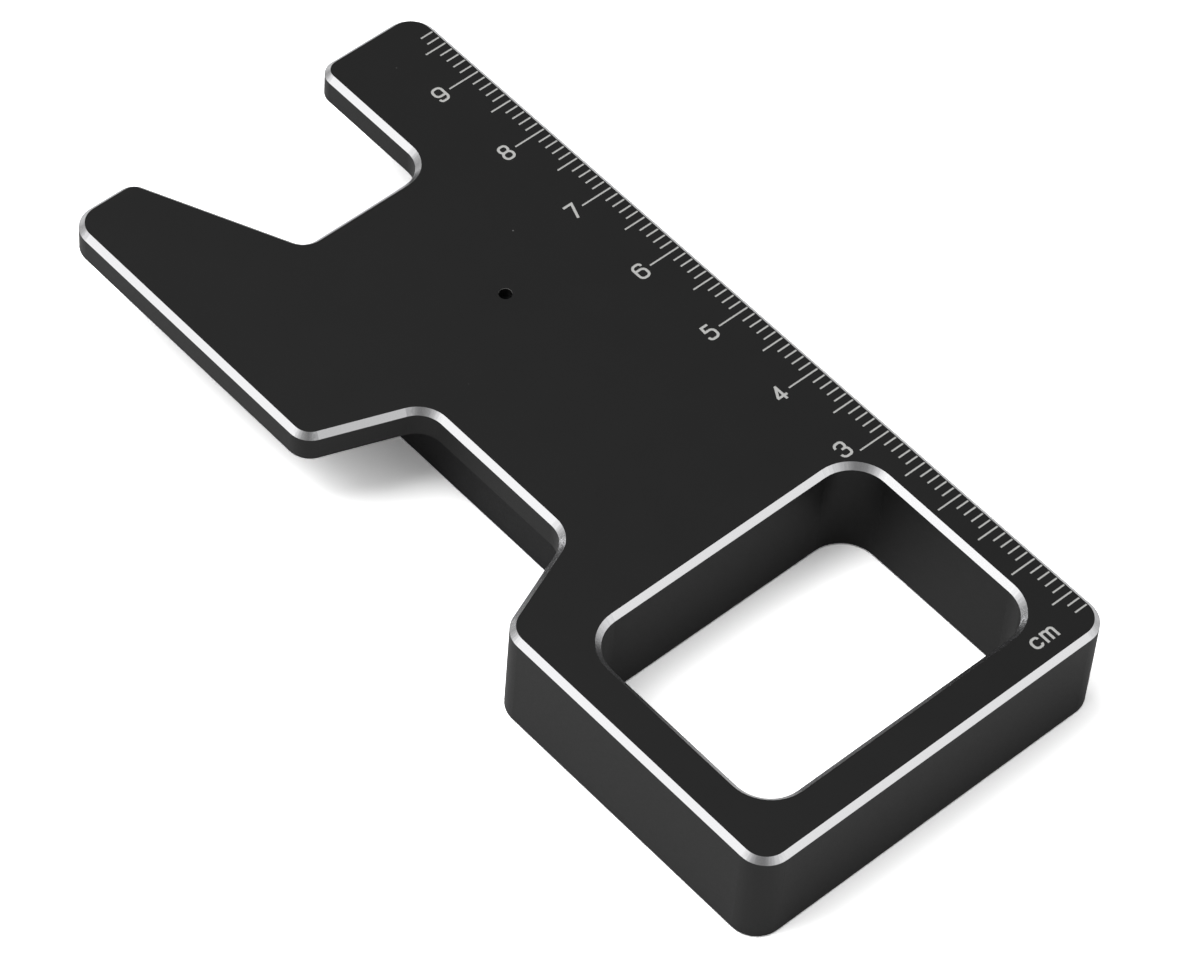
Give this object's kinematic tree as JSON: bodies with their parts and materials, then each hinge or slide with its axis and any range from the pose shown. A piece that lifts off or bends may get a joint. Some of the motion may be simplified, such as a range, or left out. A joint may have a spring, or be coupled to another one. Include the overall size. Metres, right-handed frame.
{
  "type": "camber caster gauge",
  "caption": "Flat hand gauge for wheel angles: black anodised plate with a forked end, a windowed foot, an engraved ruler and a battery-powered sensor housing behind.",
  "frame": {"origin": "centre of the outline, on the underside that rests on the table", "axes": "+X towards the fork end, +Y towards the side with the two contact pads (the ruler is on the -Y edge), +Z out of the engraved face"},
  "size_m": [0.1006, 0.045, 0.0121],
  "materials": {
    "anodised_aluminium": "matte black anodised, bright-cut chamfers, engraved marks",
    "housing_plastic": "fine spark-eroded texture, black",
    "black_steel": "black oxide",
    "smoked_acrylic": "smoke-tinted, moulded",
    "seal_rubber": "smooth black",
    "cell_steel": "satin nickel plate",
    "spring_metal": "nickel-plated spring strip",
    "board_laminate": "green solder mask",
    "plated_steel": "bright zinc plate",
    "chip_resin": "moulded epoxy",
    "plunger_plastic": "natural nylon",
    "button_plastic": "smooth matt",
    "antenna_ceramic": "glazed",
    "capacitor_ceramic": "tan ceramic with tinned ends",
    "resistor_ceramic": "black glaze with tinned ends",
    "led_resin": "clear resin over white"
  },
  "bodies": {
    "gauge": {"gauge_frame": "anodised_aluminium", "rear_housing": "housing_plastic", "housing_screws": "black_steel", "light_pipe": "smoked_acrylic", "coin_cell": "cell_steel", "negative_contact": "spring_metal", "positive_contact": "spring_metal", "circuit_board": "board_laminate", "board_screws": "plated_steel", "switch_body": "chip_resin", "switch_dome": "spring_metal", "tilt_sensor": "chip_resin", "radio_chip": "chip_resin", "chip_antenna": "antenna_ceramic", "clock_crystals": "plated_steel", "voltage_regulator": "chip_resin", "ceramic_capacitors": "capacitor_ceramic", "chip_resistors": "resistor_ceramic", "status_led": "led_resin"},
    "cap": {"battery_cap": "housing_plastic", "cap_seal": "seal_rubber"},
    "button": {"power_button": "button_plastic", "switch_plunger": "plunger_plastic"}
  },
  "joints": [
    {"name": "battery_cap_turn", "type": "hinge", "parent": "gauge", "child": "cap", "pos_m": [0.00105, -0.00595, 0.00085], "axis": [0, 0, -1], "range_deg": [0, 45]},
    {"name": "power_button_press", "type": "slide", "parent": "gauge", "child": "button", "axis": [0, 0, 1], "range_m": [0, 0.00025], "stiffness_N_per_m": 4000, "deforming": ["switch_dome"]}
  ]
}
